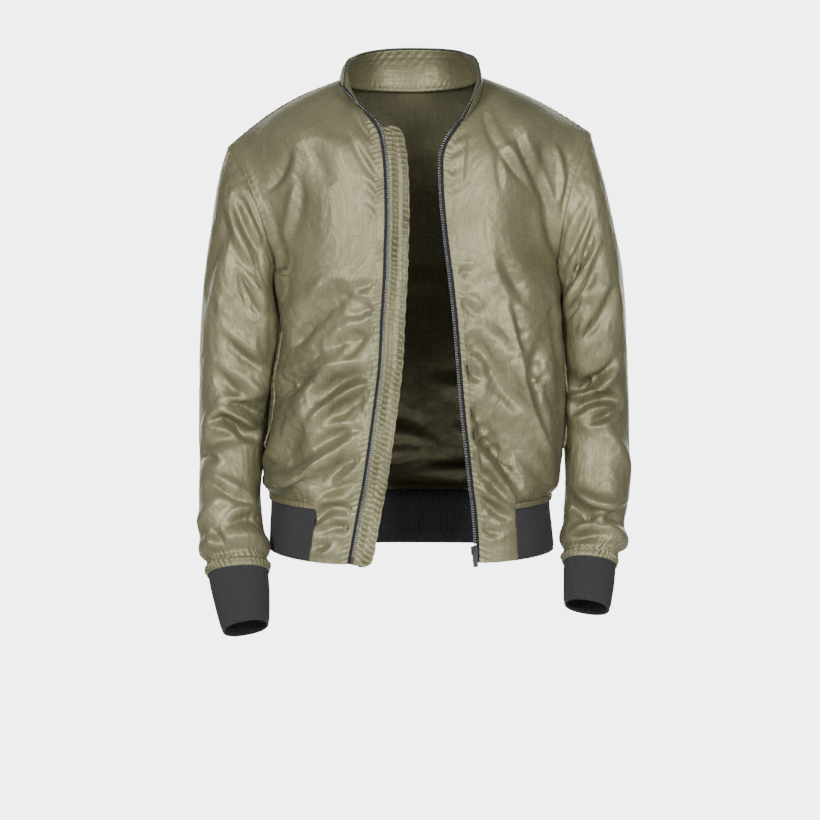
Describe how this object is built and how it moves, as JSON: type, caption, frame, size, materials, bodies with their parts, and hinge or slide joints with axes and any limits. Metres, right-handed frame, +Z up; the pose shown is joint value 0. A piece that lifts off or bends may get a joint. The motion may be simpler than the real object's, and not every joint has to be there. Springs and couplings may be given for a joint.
{
  "type": "bomber jacket",
  "caption": "Worn bomber jacket, open at the front: a hollow nylon shell with a low stand collar, set-in sleeves, slanted pocket welts, rib-knit hem and cuffs, and a zip with a stitched guard.",
  "frame": {"origin": "midway between the two points where the shoulder seams meet the collar, where the jacket hangs on the wearer", "axes": "+X to the wearer's left, -Y to the front, +Z up"},
  "size_m": [0.5605, 0.2867, 0.769],
  "materials": {
    "nylon": "olive satin nylon",
    "rib_knit": "charcoal rib knit",
    "piping": "dark green cord",
    "zip_tape": "black woven tape",
    "zip_metal": "dark nickel"
  },
  "bodies": {
    "jacket": {"back": "nylon", "collar": "nylon", "collar_facing": "nylon", "collar_piping": "piping", "cuff_left": "rib_knit", "cuff_right": "rib_knit", "front_left": "nylon", "front_right": "nylon", "hem_rib": "rib_knit", "pocket_welt_left": "nylon", "pocket_welt_right": "nylon", "sleeve_left": "nylon", "sleeve_right": "nylon", "zip_box": "zip_metal", "zip_chain_left": "zip_metal", "zip_chain_right": "zip_metal", "zip_guard": "nylon", "zip_pin": "zip_metal", "zip_slider": "zip_metal", "zip_tape_left": "zip_tape", "zip_tape_right": "zip_tape"},
    "zip_pull": {"zip_pull": "zip_metal"}
  },
  "joints": [
    {"name": "pull_hinge", "type": "hinge", "parent": "jacket", "child": "zip_pull", "pos_m": [0.08143, -0.13054, -0.5753], "axis": [-0.9956, -0.0831, -0.0444], "range_deg": [0, 150]}
  ]
}
